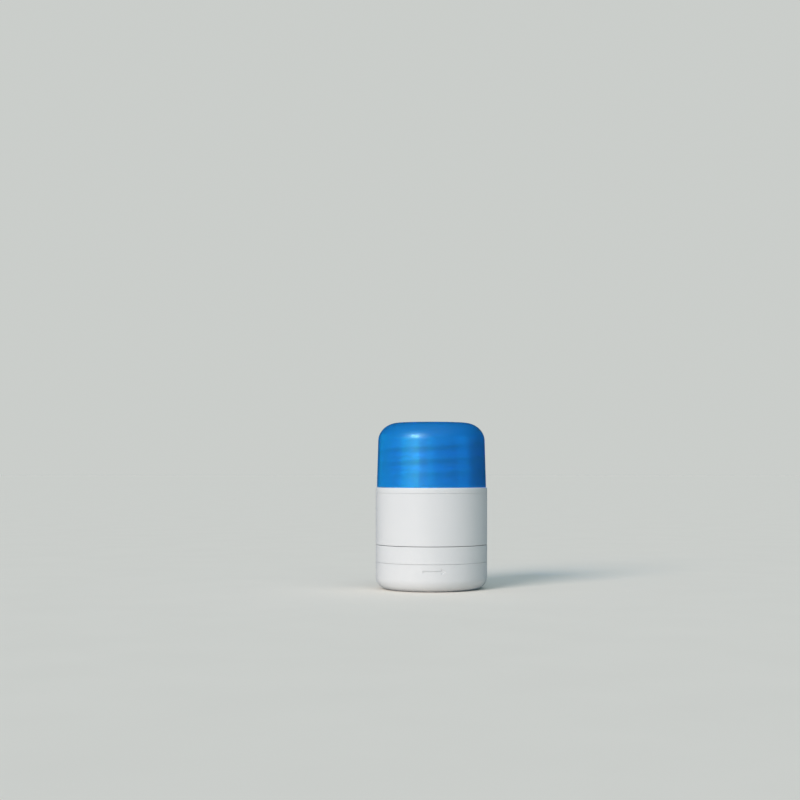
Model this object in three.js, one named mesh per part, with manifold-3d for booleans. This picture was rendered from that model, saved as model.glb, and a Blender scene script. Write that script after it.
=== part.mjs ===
// Three-way pill crusher: crush, cut and store, all in one upright cylinder.
// It stands on its cutter lid. Going up: cutter lid, hinged cutter base, main body with the
// tablet cup inside, threaded plunger with the powder chamber inside, and the crush cup.
// Millimetres, +Z up, front at -Y, origin in the middle of the face that it stands on.

import * as THREE from 'three';
import { mergeVertices } from 'three/addons/utils/BufferGeometryUtils.js';
import Module from 'manifold-3d';

const wasm = await Module();
wasm.setup();

// ---- driving dimensions ----------------------------------------------------------------

const BODY_RADIUS = 23;
const GAP = 0.3;                      // clearance between separate pieces
const SEAT = 0.1;                     // gap between pieces that rest on each other
const ROOTED = 0.4;                   // how far a ridge starts inside the wall that it stands on
const WALL = 1.8;
const FACETS = 40;                    // sides of a large round piece
const SMALL_FACETS = 16;              // sides of a pin or a screw
const THREAD_STEPS = 32;              // steps in one turn of a thread

// heights of the visible joints
const LID_SEAM_Z = 11.25;
const BODY_SEAM_Z = 18.2;
const BODY_SEAM_GAP = 0.4;
const FLANGE_Z = 39.65;
const CUP_MOUTH_Z = 41.8;
const TOP_Z = 68.45;

// cutter lid
const LID_CORNER = 5;
const LID_FLOOR = 2;
const LID_FILLET = 3;
const LID_INNER_RADIUS = BODY_RADIUS - WALL;
const ARROW_TAIL_X = -3.5;
const ARROW_NECK_X = 3.9;
const ARROW_TIP_X = 5.8;
const ARROW_HALF = 0.4;               // half width of the arrow's shaft
const ARROW_HEAD_HALF = 1.35;
const ARROW_Z = 8.4;
const ARROW_DEPTH = 0.3;

// hinge between the lid and the cutter base
const HINGE_Y = 20.6;
const HINGE_Z = LID_SEAM_Z;
const KNUCKLE_RADIUS = 1.5;
const KNUCKLE_BORE = 0.85;
const WEB_BACK = 1.05;                // how far a knuckle's web reaches behind the hinge axis
const EAR_WEB_BOTTOM_Z = 4.5;
const PIN_RADIUS = 0.6;
const PIN_INSET = 0.2;
const LUG_HALF = 2.6;                 // the base's lug, in the middle
const EAR_OUTER = 6.4;                // the lid's two ears, beside the lug
const NOTCH_HALF = 10.5;
const NOTCH_RISE = 3;
const NOTCH_INNER_Y = 18.6;

// cutter base
const LIP_DROP = 1.4;
const WELL_RADIUS = 19.6;
const LIP_RADIUS = LID_INNER_RADIUS - GAP;
const SPIGOT_RADIUS = 20.85;
const PLATE_TOP = 22.5;
const PLATE = 1.6;
const PLATE_BOTTOM = PLATE_TOP - PLATE;

// quick thread between the cutter base and the main body: two starts
const BODY_LEAD = 6.4;
const BODY_STARTS = 2;
const MALE_LUG_RADIUS = 21.55;
const FEMALE_LUG_RADIUS = 21.15;
const MOUTH_RADIUS = 21.85;
const LUG_START_Z = 19.6;
const LUG_TURNS = 0.34;
const LUG_ROOT_WIDTH = 1.2;
const LUG_CREST_WIDTH = 0.7;

// teardrop pill holder, with its point to the front and its round end at the hinge
const HOLDER_Z = 12;
const HOLDER_ROUND = 10.5;
const HOLDER_CENTRE_Y = 4;
const HOLDER_POINT_Y = -17.2;
const HOLDER_BLUNT = 1.6;
const POCKET_ROUND = 8.2;
const POCKET_POINT_Y = -12.6;
const POCKET_BLUNT = 0.8;
const POCKET_FLOOR_Z = 18.6;
const PAD = 0.8;
const PAD_BLUNT = 0.6;
const GLUE_LINE = 0.05;

// blade and the holder that it is screwed down in
const BLADE_FRONT_Y = -8;
const BLADE_BACK_Y = 8.4;
const BLADE_THICKNESS = 0.5;
const BLADE_FOOT_Z = 4.6;
const BLADE_EDGE_Z = 17.5;
const BLADE_BEVEL = 1.6;
const EDGE_HALF = 0.04;
const SLOT_PLAY = 0.2;
const LEAF_FOOT_HALF = 7.4;           // half width of the foot, which is a pointed leaf
const LEAF_FOOT_TIP = 15.2;
const LEAF_HALF = 3.4;
const LEAF_TIP = 11;
const LEAF_TOP_Z = 11.6;
const FOOT_BOTTOM_Z = 3.3;
const FOOT_TOP_Z = 5;
const SCREW_X = 5.3;
const SCREW_RADIUS = 0.8;
const SCREW_HEAD_RADIUS = 1.6;
const SCREW_HEAD = 1;
const SCREW_TIP_Z = 1.3;
const BOSS_RADIUS = 1.9;

// main body
const BODY_BORE = 20.05;
const BODY_CHAMFER = 0.3;
const LEDGE_Z = 23.6;
const SEAL_PLAY = 0.15;

// tablet cup, which hangs mouth down in the main body and rests on the cutter base
const TABLET_RIM_RADIUS = 19.75;
const TABLET_RADIUS = 19.3;
const TABLET_RIM = 1.4;
const TABLET_RIM_TAPER = 0.4;
const TABLET_WALL = 1.2;
const TABLET_MOUTH_Z = 22.8;
const TABLET_TOP_Z = 39.2;
const TABLET_CORNER = 7;
const DIVIDER = 1.2;

// threaded plunger and crush cup
const LEAD = 5.25;
const THREAD_START_Z = 45.65;
const THREAD_TURNS = 2.65;
const THREAD_ROOT_WIDTH = 3;
const THREAD_CREST_WIDTH = 1.5;
const FLANGE_CHAMFER = 0.4;
const LOCATE_DROP = 1.6;              // rim below the flange that centres it in the main body
const LOCATE_WALL = 1.2;
const PLUNGER_ROOT = 17.9;
const PLUNGER_CREST = 19.25;
const PLUNGER_END_Z = 62.5;
const PLUNGER_CHAMFER = 1.5;
const POWDER_RADIUS = 15.4;
const POWDER_ROOF_Z = 60.6;
const POWDER_CHAMFER = 2;
const GRIND_RIB = 0.5;                // height, and half width
const GRIND_RIBS = 6;
const GRIND_RIB_START = 3;
const PLUNGER_RIB_END = 13.5;
const CUP_RIB_END = 12;
const CUP_ROOT = 19.6;
const CUP_CREST = 18.3;
const CUP_MOUTH_RADIUS = 22.55;
const CUP_SHOULDER_RADIUS = 22;
const SHOULDER_Z = 60.9;
const SHOULDER_WIDTH = 8.5;
const CUP_FLOOR_Z = 66.7;
const CUP_INNER_CORNER = 5;
const SEAL_GROOVE_INNER = CUP_ROOT + 0.5;
const SEAL_GROOVE_OUTER = CUP_MOUTH_RADIUS - 0.8;
const SEAL_GROOVE_DEPTH = 0.95;
const SEAL_SIDE_PLAY = 0.25;
const SEAL_HEIGHT = 0.6;

// ---- materials -------------------------------------------------------------------------

function plastic(colour, roughness) {
  return new THREE.MeshStandardMaterial({ color: colour, roughness, metalness: 0 });
}

function steel(roughness) {
  return new THREE.MeshStandardMaterial({ color: 0xb9bdc2, roughness, metalness: 1 });
}

// ---- geometry helpers ------------------------------------------------------------------

function point(x, y) {
  return new THREE.Vector2(x, y);
}

// Points along an arc of an ellipse, with its angles in degrees.
function arc(cx, cy, rx, ry, from, to, steps) {
  const points = [];
  for (let i = 0; i <= steps; i++) {
    const angle = THREE.MathUtils.degToRad(from + (to - from) * i / steps);
    points.push(point(cx + rx * Math.cos(angle), cy + ry * Math.sin(angle)));
  }
  return points;
}

function volumeOf(vertices, index) {
  const a = new THREE.Vector3();
  const b = new THREE.Vector3();
  const c = new THREE.Vector3();
  let volume = 0;
  for (let i = 0; i < index.length; i += 3) {
    a.fromArray(vertices, 3 * index[i]);
    b.fromArray(vertices, 3 * index[i + 1]);
    c.fromArray(vertices, 3 * index[i + 2]);
    volume += a.dot(b.cross(c)) / 6;
  }
  return volume;
}

// One closed skin with shared corners, no collapsed triangles, and its faces pointing out.
function weld(geometry) {
  const bare = geometry.clone();
  bare.deleteAttribute('normal');
  bare.deleteAttribute('uv');
  const merged = mergeVertices(bare, 1e-4);
  const source = merged.index.array;
  const kept = [];
  for (let i = 0; i < source.length; i += 3) {
    const [a, b, c] = [source[i], source[i + 1], source[i + 2]];
    if (a !== b && b !== c && c !== a) kept.push(a, b, c);
  }
  if (volumeOf(merged.attributes.position.array, kept) < 0) kept.reverse();
  merged.setIndex(kept);
  return merged;
}

function toSolid(geometry) {
  const skin = weld(geometry);
  return new wasm.Manifold(new wasm.Mesh({
    numProp: 3,
    vertProperties: new Float32Array(skin.attributes.position.array),
    triVerts: new Uint32Array(skin.index.array),
  }));
}

function fromSolid(solid) {
  const mesh = solid.getMesh();
  const geometry = new THREE.BufferGeometry();
  geometry.setAttribute('position', new THREE.BufferAttribute(mesh.vertProperties, 3));
  geometry.setIndex(new THREE.BufferAttribute(mesh.triVerts, 1));
  return geometry;
}

// The base geometry with some others joined to it and then others cut away.
function shape(base, joined = [], cut = []) {
  let solid = toSolid(base);
  for (const other of joined) solid = solid.add(toSolid(other));
  for (const other of cut) solid = solid.subtract(toSolid(other));
  return fromSolid(solid);
}

function common(a, b) {
  return fromSolid(toSolid(a).intersect(toSolid(b)));
}

// A solid of revolution about Z from points of (radius, height).
function turned(profile, facets = FACETS) {
  const geometry = new THREE.LatheGeometry(profile, facets);
  geometry.rotateX(Math.PI / 2);
  return weld(geometry);
}

function ring(inner, outer, bottom, top, facets = FACETS) {
  const profile = [point(inner, bottom), point(outer, bottom), point(outer, top), point(inner, top)];
  return turned([...profile, profile[0]], facets);
}

function disc(radius, bottom, top, facets = SMALL_FACETS) {
  return turned([point(0, bottom), point(radius, bottom), point(radius, top), point(0, top)], facets);
}

function box(x0, x1, y0, y1, z0, z1) {
  const geometry = new THREE.BoxGeometry(x1 - x0, y1 - y0, z1 - z0);
  return geometry.translate((x0 + x1) / 2, (y0 + y1) / 2, (z0 + z1) / 2);
}

// An outline in the XY plane, raised from one height to another.
function raised(points, bottom, top) {
  const outline = new THREE.Shape(points);
  const geometry = new THREE.ExtrudeGeometry(outline, { depth: top - bottom, bevelEnabled: false });
  return weld(geometry.translate(0, 0, bottom));
}

// A rod along X on the hinge axis.
function hingeRod(radius, x0, x1) {
  const geometry = new THREE.CylinderGeometry(radius, radius, x1 - x0, SMALL_FACETS);
  geometry.rotateZ(Math.PI / 2);
  return geometry.translate((x0 + x1) / 2, HINGE_Y, HINGE_Z);
}

// A screw ridge that climbs anticlockwise, its ends running out into the wall it grows from.
// Its section is a trapezium from wallRadius, inside the wall, to crestRadius.
function helicalRidge(ridge) {
  const { wallRadius, rootRadius, crestRadius, rootWidth, crestWidth, lead, angle, z, turns } = ridge;
  const steps = Math.round(turns * THREAD_STEPS);
  const runOut = 4;
  const corners = [];
  for (let i = 0; i <= steps; i++) {
    const turn = i / THREAD_STEPS;
    const theta = angle + turn * 2 * Math.PI;
    const grown = Math.min(1, (Math.min(i, steps - i) + 1) / (runOut + 1));
    const crest = rootRadius + (crestRadius - rootRadius) * grown;
    const height = z + turn * lead;
    const section = [
      [wallRadius, -rootWidth / 2], [crest, -crestWidth / 2],
      [crest, crestWidth / 2], [wallRadius, rootWidth / 2],
    ];
    for (const [radius, offset] of section) {
      corners.push(radius * Math.cos(theta), radius * Math.sin(theta), height + offset);
    }
  }
  const index = [0, 1, 2, 0, 2, 3];
  for (let i = 0; i < steps; i++) {
    for (let side = 0; side < 4; side++) {
      const a = 4 * i + side;
      const b = 4 * i + (side + 1) % 4;
      index.push(a, a + 4, b, b, a + 4, b + 4);
    }
  }
  const last = 4 * steps;
  index.push(last, last + 2, last + 1, last, last + 3, last + 2);
  const geometry = new THREE.BufferGeometry();
  geometry.setAttribute('position', new THREE.Float32BufferAttribute(corners, 3));
  geometry.setIndex(index);
  return weld(geometry);
}

// Outline of a teardrop with its round end at +Y and a blunted point at -Y.
function teardrop(round, centreY, pointY, blunt) {
  const half = Math.asin((round - blunt) / (centreY - pointY - blunt));
  const degrees = THREE.MathUtils.radToDeg(half);
  const roundEnd = arc(0, centreY, round, round, -degrees, 180 + degrees, 18);
  const tip = arc(0, pointY + blunt, blunt, blunt, 180 + degrees, 360 - degrees, 5);
  return [...roundEnd, ...tip];
}

// Outline of a leaf: two equal arcs that meet in points at both ends, along Y.
function leaf(halfWidth, tip, steps = 8) {
  const radius = (tip * tip + halfWidth * halfWidth) / (2 * halfWidth);
  const sweep = THREE.MathUtils.radToDeg(Math.asin(tip / radius));
  const right = arc(halfWidth - radius, 0, radius, radius, -sweep, sweep, steps);
  const left = arc(radius - halfWidth, 0, radius, radius, 180 - sweep, 180 + sweep, steps);
  return [...right, ...left.slice(1, -1)];
}

// ---- cutter lid, which the object stands on --------------------------------------------

// The arrow on the front, as the solid that is cut out of the lid's wall.
function arrowMark() {
  const outline = new THREE.Shape([
    point(ARROW_TAIL_X, -ARROW_HALF), point(ARROW_NECK_X, -ARROW_HALF),
    point(ARROW_NECK_X, -ARROW_HEAD_HALF), point(ARROW_TIP_X, 0),
    point(ARROW_NECK_X, ARROW_HEAD_HALF), point(ARROW_NECK_X, ARROW_HALF),
    point(ARROW_TAIL_X, ARROW_HALF),
  ]);
  const length = 2 * LID_CORNER;
  const deep = new THREE.ExtrudeGeometry(outline, { depth: length, bevelEnabled: false });
  deep.rotateX(Math.PI / 2);
  deep.translate(0, length - BODY_RADIUS - 1, ARROW_Z);
  return common(deep, ring(BODY_RADIUS - ARROW_DEPTH, BODY_RADIUS + 1, 0, LID_SEAM_Z));
}

function cutterLid() {
  const rim = LID_SEAM_Z - GAP / 2;
  const inner = LID_INNER_RADIUS;
  const profile = [
    point(0, 0),
    ...arc(BODY_RADIUS - LID_CORNER, LID_CORNER, LID_CORNER, LID_CORNER, -90, 0, 5),
    point(BODY_RADIUS, rim),
    point(inner, rim),
    ...arc(inner - LID_FILLET, LID_FLOOR + LID_FILLET, LID_FILLET, LID_FILLET, 0, -90, 3),
    point(0, LID_FLOOR),
  ];
  const notchFloor = HINGE_Z - NOTCH_RISE;
  const ears = [-1, 1].flatMap((side) => {
    const x = [side * (LUG_HALF + GAP), side * EAR_OUTER].sort((a, b) => a - b);
    const web = box(x[0], x[1], HINGE_Y - KNUCKLE_RADIUS, HINGE_Y + WEB_BACK, EAR_WEB_BOTTOM_Z, HINGE_Z);
    return [web, hingeRod(KNUCKLE_RADIUS, x[0], x[1])];
  });
  const bosses = [-SCREW_X, SCREW_X].map((x) =>
    disc(BOSS_RADIUS, LID_FLOOR - ROOTED, FOOT_BOTTOM_Z - SEAT).translate(x, 0, 0));
  const screwHoles = [-SCREW_X, SCREW_X].map((x) =>
    disc(SCREW_RADIUS + GAP, SCREW_TIP_Z - GAP, FOOT_BOTTOM_Z + 1).translate(x, 0, 0));
  const notch = box(-NOTCH_HALF, NOTCH_HALF, NOTCH_INNER_Y, BODY_RADIUS + 1, notchFloor, LID_SEAM_Z);
  const shell = shape(turned(profile), bosses, [arrowMark(), notch]);
  return shape(shell, ears, [hingeRod(KNUCKLE_BORE, -EAR_OUTER - 1, EAR_OUTER + 1), ...screwHoles]);
}

function hingePin() {
  return hingeRod(PIN_RADIUS, PIN_INSET - EAR_OUTER, EAR_OUTER - PIN_INSET);
}

function bladeHolder() {
  const foot = raised(leaf(LEAF_FOOT_HALF, LEAF_FOOT_TIP), FOOT_BOTTOM_Z, FOOT_TOP_Z);
  const tower = raised(leaf(LEAF_HALF, LEAF_TIP), FOOT_BOTTOM_Z, LEAF_TOP_Z);
  const slotHalf = BLADE_THICKNESS / 2 + SLOT_PLAY;
  const slot = box(-slotHalf, slotHalf, BLADE_FRONT_Y - GAP, BLADE_BACK_Y + GAP,
    BLADE_FOOT_Z - GAP, LEAF_TOP_Z + 1);
  const holes = [-SCREW_X, SCREW_X].map((x) =>
    disc(SCREW_RADIUS + GAP, 0, LEAF_TOP_Z + 1).translate(x, 0, 0));
  return shape(foot, [tower], [slot, ...holes]);
}

// A razor blank: flat sides, and a long edge ground from both sides.
function blade() {
  const half = BLADE_THICKNESS / 2;
  const outline = [
    point(-half, BLADE_FOOT_Z), point(half, BLADE_FOOT_Z), point(half, BLADE_EDGE_Z - BLADE_BEVEL),
    point(EDGE_HALF, BLADE_EDGE_Z), point(-EDGE_HALF, BLADE_EDGE_Z),
    point(-half, BLADE_EDGE_Z - BLADE_BEVEL),
  ];
  const depth = BLADE_BACK_Y - BLADE_FRONT_Y;
  const geometry = new THREE.ExtrudeGeometry(new THREE.Shape(outline), { depth, bevelEnabled: false });
  return weld(geometry.rotateX(Math.PI / 2).translate(0, BLADE_BACK_Y, 0));
}

function holderScrew() {
  const head = FOOT_TOP_Z + SEAT;
  const top = head + SCREW_HEAD;
  return turned([
    point(0, SCREW_TIP_Z), point(SCREW_RADIUS, SCREW_TIP_Z), point(SCREW_RADIUS, head),
    point(SCREW_HEAD_RADIUS, head), point(SCREW_HEAD_RADIUS, head + SCREW_HEAD / 2),
    point(SCREW_HEAD_RADIUS / 2, top), point(0, top),
  ], SMALL_FACETS);
}

// ---- cutter base -----------------------------------------------------------------------

// The lugs of the quick thread, on a wall of rootRadius that is solid towards wallRadius.
function bodyThread(wallRadius, rootRadius, crestRadius, startAngle) {
  const starts = [];
  for (let i = 0; i < BODY_STARTS; i++) {
    starts.push(helicalRidge({
      wallRadius, rootRadius, crestRadius, rootWidth: LUG_ROOT_WIDTH, crestWidth: LUG_CREST_WIDTH,
      lead: BODY_LEAD, angle: startAngle + i * 2 * Math.PI / BODY_STARTS, z: LUG_START_Z, turns: LUG_TURNS,
    }));
  }
  return starts;
}

function cutterBase() {
  const rim = LID_SEAM_Z + GAP / 2;
  const shoulder = BODY_SEAM_Z - BODY_SEAM_GAP / 2;
  const profile = [
    point(WELL_RADIUS, rim - LIP_DROP), point(LIP_RADIUS, rim - LIP_DROP), point(LIP_RADIUS, rim),
    point(BODY_RADIUS, rim), point(BODY_RADIUS, shoulder), point(SPIGOT_RADIUS, shoulder),
    point(SPIGOT_RADIUS, PLATE_TOP), point(0, PLATE_TOP), point(0, PLATE_BOTTOM),
    point(WELL_RADIUS, PLATE_BOTTOM),
  ];
  const closed = [...profile.slice(8), ...profile.slice(0, 8)];
  const notchRoof = HINGE_Z + NOTCH_RISE;
  const notch = box(-NOTCH_HALF, NOTCH_HALF, NOTCH_INNER_Y, BODY_RADIUS + 1,
    rim - LIP_DROP - 1, notchRoof);
  const web = box(-LUG_HALF, LUG_HALF, HINGE_Y - KNUCKLE_RADIUS, HINGE_Y + WEB_BACK,
    HINGE_Z, notchRoof + ROOTED);
  const lug = hingeRod(KNUCKLE_RADIUS, -LUG_HALF, LUG_HALF);
  const thread = bodyThread(SPIGOT_RADIUS - ROOTED, SPIGOT_RADIUS, MALE_LUG_RADIUS, 0);
  const shell = shape(turned(closed), thread, [notch]);
  return shape(shell, [web, lug], [hingeRod(KNUCKLE_BORE, -EAR_OUTER, EAR_OUTER)]);
}

function pillHolder() {
  const block = raised(teardrop(HOLDER_ROUND, HOLDER_CENTRE_Y, HOLDER_POINT_Y, HOLDER_BLUNT),
    HOLDER_Z, PLATE_BOTTOM - GLUE_LINE);
  const pocket = raised(teardrop(POCKET_ROUND, HOLDER_CENTRE_Y, POCKET_POINT_Y, POCKET_BLUNT),
    HOLDER_Z - 1, POCKET_FLOOR_Z);
  return shape(block, [], [pocket]);
}

function pillPad() {
  return raised(teardrop(POCKET_ROUND - GAP, HOLDER_CENTRE_Y, POCKET_POINT_Y + GAP, PAD_BLUNT),
    POCKET_FLOOR_Z - PAD, POCKET_FLOOR_Z - GLUE_LINE);
}

// ---- main body, with the plunger on top ------------------------------------------------

function mainBody() {
  const bottom = BODY_SEAM_Z + BODY_SEAM_GAP / 2;
  const top = FLANGE_Z - SEAT;
  const profile = [
    point(BODY_RADIUS - BODY_CHAMFER, bottom), point(BODY_RADIUS, bottom + BODY_CHAMFER),
    point(BODY_RADIUS, top),
    point(BODY_BORE, top), point(BODY_BORE, LEDGE_Z), point(MOUTH_RADIUS, LEDGE_Z),
    point(MOUTH_RADIUS, bottom),
  ];
  const halfPitch = Math.PI / BODY_STARTS;
  const thread = bodyThread(MOUTH_RADIUS + ROOTED, MOUTH_RADIUS, FEMALE_LUG_RADIUS, halfPitch);
  return shape(turned([...profile, profile[0]]), thread);
}

function bodySealRing() {
  return ring(BODY_BORE + SEAL_PLAY, MOUTH_RADIUS - GAP, PLATE_TOP + GAP, LEDGE_Z - GAP);
}

// Ribs that run out from the middle of a grinding face, with half their height sunk into it.
function grindRibs(end, faceZ) {
  const ribs = [];
  for (let i = 0; i < GRIND_RIBS; i++) {
    const rib = box(GRIND_RIB_START, end, -GRIND_RIB, GRIND_RIB, faceZ - GRIND_RIB, faceZ + GRIND_RIB);
    ribs.push(rib.rotateZ(i * 2 * Math.PI / GRIND_RIBS));
  }
  return ribs;
}

// The wide thread that the crush cup is screwed down by.
function crushThread(wallRadius, rootRadius, crestRadius, angle) {
  return helicalRidge({
    wallRadius, rootRadius, crestRadius, rootWidth: THREAD_ROOT_WIDTH, crestWidth: THREAD_CREST_WIDTH,
    lead: LEAD, angle, z: THREAD_START_Z, turns: THREAD_TURNS,
  });
}

function plunger() {
  const locateRadius = BODY_BORE - GAP;
  const locateInner = locateRadius - LOCATE_WALL;
  const locateBottom = FLANGE_Z - LOCATE_DROP;
  const profile = [
    point(0, POWDER_ROOF_Z), point(POWDER_RADIUS - POWDER_CHAMFER, POWDER_ROOF_Z),
    point(POWDER_RADIUS, POWDER_ROOF_Z - POWDER_CHAMFER), point(POWDER_RADIUS, FLANGE_Z),
    point(locateInner, FLANGE_Z), point(locateInner, locateBottom),
    point(locateRadius, locateBottom), point(locateRadius, FLANGE_Z), point(BODY_RADIUS, FLANGE_Z),
    point(BODY_RADIUS, CUP_MOUTH_Z - FLANGE_CHAMFER), point(BODY_RADIUS - FLANGE_CHAMFER, CUP_MOUTH_Z),
    point(PLUNGER_ROOT, CUP_MOUTH_Z), point(PLUNGER_ROOT, PLUNGER_END_Z - PLUNGER_CHAMFER),
    point(PLUNGER_ROOT - PLUNGER_CHAMFER, PLUNGER_END_Z), point(0, PLUNGER_END_Z),
  ];
  const thread = crushThread(PLUNGER_ROOT - ROOTED, PLUNGER_ROOT, PLUNGER_CREST, Math.PI / 2);
  return shape(turned(profile), [thread, ...grindRibs(PLUNGER_RIB_END, PLUNGER_END_Z)]);
}

// ---- tablet cup ------------------------------------------------------------------------

function tabletCup() {
  const innerRadius = TABLET_RADIUS - TABLET_WALL;
  const innerCorner = TABLET_CORNER - TABLET_WALL;
  const cornerZ = TABLET_TOP_Z - TABLET_CORNER;
  const rimTop = TABLET_MOUTH_Z + TABLET_RIM;
  const profile = [
    point(0, TABLET_TOP_Z - TABLET_WALL),
    ...arc(innerRadius - innerCorner, cornerZ, innerCorner, innerCorner, 90, 0, 4),
    point(innerRadius, TABLET_MOUTH_Z), point(TABLET_RIM_RADIUS, TABLET_MOUTH_Z),
    point(TABLET_RIM_RADIUS, rimTop), point(TABLET_RADIUS, rimTop + TABLET_RIM_TAPER),
    ...arc(TABLET_RADIUS - TABLET_CORNER, cornerZ, TABLET_CORNER, TABLET_CORNER, 0, 90, 5),
    point(0, TABLET_TOP_Z),
  ];
  return turned(profile);
}

// A plate across the cup, down to its floor and with the same rounded corners.
function tabletDivider() {
  const reach = TABLET_RADIUS - TABLET_WALL - GAP;
  const corner = TABLET_CORNER - TABLET_WALL;
  const cornerZ = TABLET_TOP_Z - TABLET_CORNER;
  const outline = [
    point(-reach, TABLET_MOUTH_Z + SEAT), point(reach, TABLET_MOUTH_Z + SEAT),
    ...arc(reach - corner, cornerZ - GAP, corner, corner, 0, 90, 4),
    ...arc(corner - reach, cornerZ - GAP, corner, corner, 90, 180, 4),
  ];
  const thickness = { depth: DIVIDER, bevelEnabled: false };
  const plate = new THREE.ExtrudeGeometry(new THREE.Shape(outline), thickness);
  return weld(plate.rotateX(Math.PI / 2).translate(0, DIVIDER / 2, 0));
}

// ---- crush cup -------------------------------------------------------------------------

function crushCup() {
  const mouth = CUP_MOUTH_Z + SEAT;
  const floorFlat = CUP_ROOT - CUP_INNER_CORNER;
  const grooveRoof = mouth + SEAL_GROOVE_DEPTH;
  const shoulderCentre = CUP_SHOULDER_RADIUS - SHOULDER_WIDTH;
  const shoulderHeight = TOP_Z - SHOULDER_Z;
  const profile = [
    point(0, CUP_FLOOR_Z),
    ...arc(floorFlat, CUP_FLOOR_Z - CUP_INNER_CORNER, CUP_INNER_CORNER, CUP_INNER_CORNER, 90, 0, 4),
    point(CUP_ROOT, mouth), point(SEAL_GROOVE_INNER, mouth), point(SEAL_GROOVE_INNER, grooveRoof),
    point(SEAL_GROOVE_OUTER, grooveRoof), point(SEAL_GROOVE_OUTER, mouth),
    point(CUP_MOUTH_RADIUS, mouth),
    ...arc(shoulderCentre, SHOULDER_Z, SHOULDER_WIDTH, shoulderHeight, 0, 90, 7),
    point(0, TOP_Z),
  ];
  const thread = crushThread(CUP_ROOT + ROOTED, CUP_ROOT, CUP_CREST, -Math.PI / 2);
  return shape(turned(profile), [thread, ...grindRibs(CUP_RIB_END, CUP_FLOOR_Z)]);
}

function cupSealRing() {
  const bottom = CUP_MOUTH_Z + SEAT + GLUE_LINE;
  return ring(SEAL_GROOVE_INNER + SEAL_SIDE_PLAY, SEAL_GROOVE_OUTER - SEAL_SIDE_PLAY,
    bottom, bottom + SEAL_HEIGHT);
}

// ---- assembly --------------------------------------------------------------------------

const model = new THREE.Group();

function add(name, geometry, material) {
  const mesh = new THREE.Mesh(geometry, material);
  mesh.name = name;
  model.add(mesh);
  return mesh;
}

add('cutter_lid', cutterLid(), plastic(0xdde1e0, 0.4));
add('hinge_pin', hingePin(), steel(0.3));
add('blade_holder', bladeHolder(), plastic(0xd8dcdc, 0.45));
add('blade', blade(), steel(0.25));
add('holder_screw_left', holderScrew(), steel(0.35)).position.x = -SCREW_X;
add('holder_screw_right', holderScrew(), steel(0.35)).position.x = SCREW_X;
add('cutter_base', cutterBase(), plastic(0xdde1e0, 0.4));
add('pill_holder', pillHolder(), plastic(0xd8dcdc, 0.45));
add('pill_pad', pillPad(), plastic(0xb8c4cc, 0.8));
add('body_seal_ring', bodySealRing(), plastic(0xc9d2d6, 0.7));
add('main_body', mainBody(), plastic(0xdde1e0, 0.4));
add('plunger', plunger(), plastic(0xdde1e0, 0.4));
add('tablet_cup', tabletCup(), plastic(0xe4e7e6, 0.35));
add('tablet_divider', tabletDivider(), plastic(0xe4e7e6, 0.35));
add('cup_seal_ring', cupSealRing(), plastic(0xc9d2d6, 0.7));
add('crush_cup', crushCup(), plastic(0x1e73c4, 0.15));

export default model;
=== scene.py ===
"""Looks of the three-way pill crusher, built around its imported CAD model.

Every moulded piece is rebuilt here as a fine, smooth mesh in the place that the CAD node gives.
Lengths are written in millimetres and become metres when a mesh is made.
"""

import math

import bmesh
import bpy
import numpy as np
from mathutils import Matrix, Vector


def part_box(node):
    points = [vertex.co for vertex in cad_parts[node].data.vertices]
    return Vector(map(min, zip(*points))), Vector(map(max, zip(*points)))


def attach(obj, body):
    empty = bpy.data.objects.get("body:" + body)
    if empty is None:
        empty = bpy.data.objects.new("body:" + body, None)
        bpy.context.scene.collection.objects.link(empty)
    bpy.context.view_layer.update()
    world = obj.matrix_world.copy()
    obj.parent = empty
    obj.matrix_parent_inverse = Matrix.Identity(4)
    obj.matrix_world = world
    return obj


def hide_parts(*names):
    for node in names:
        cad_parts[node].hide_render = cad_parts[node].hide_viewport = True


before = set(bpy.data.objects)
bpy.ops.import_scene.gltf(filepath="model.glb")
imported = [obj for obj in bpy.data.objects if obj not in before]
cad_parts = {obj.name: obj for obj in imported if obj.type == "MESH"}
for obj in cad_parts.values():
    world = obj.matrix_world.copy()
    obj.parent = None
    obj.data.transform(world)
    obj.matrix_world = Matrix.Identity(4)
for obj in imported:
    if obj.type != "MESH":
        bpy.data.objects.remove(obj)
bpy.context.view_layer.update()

MM = 0.001
TURN = 2 * math.pi
X, Y, Z = 0, 1, 2


def low(node, axis):
    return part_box(node)[0][axis] / MM


def high(node, axis):
    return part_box(node)[1][axis] / MM


# ---- measures, in millimetres ------------------------------------------------------------

BODY_R = high("main_body", X)
LID_SEAM = (low("hinge_pin", Z) + high("hinge_pin", Z)) / 2
SEAM_SETBACK = 0.04
LID_TOP = LID_SEAM - SEAM_SETBACK
BASE_BOTTOM = LID_SEAM + SEAM_SETBACK
BODY_BOTTOM = low("main_body", Z)
BODY_TOP = high("main_body", Z)
BASE_SHOULDER = BODY_BOTTOM - 0.2
CUP_BOTTOM = low("crush_cup", Z)
CUP_TOP = high("crush_cup", Z)
FLANGE_BOTTOM = BODY_TOP + SEAM_SETBACK
FLANGE_TOP = CUP_BOTTOM - 0.1
RIB_RISE = 0.5
PLUNGER_TOP = high("plunger", Z) - RIB_RISE
CUP_MOUTH_R = high("crush_cup", X)
PLATE_TOP = high("cutter_base", Z)
HINGE_Y = (low("hinge_pin", Y) + high("hinge_pin", Y)) / 2
HINGE_Z = (low("hinge_pin", Z) + high("hinge_pin", Z)) / 2
TABLET_MOUTH = low("tablet_cup", Z)
TABLET_TOP = high("tablet_cup", Z)

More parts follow.
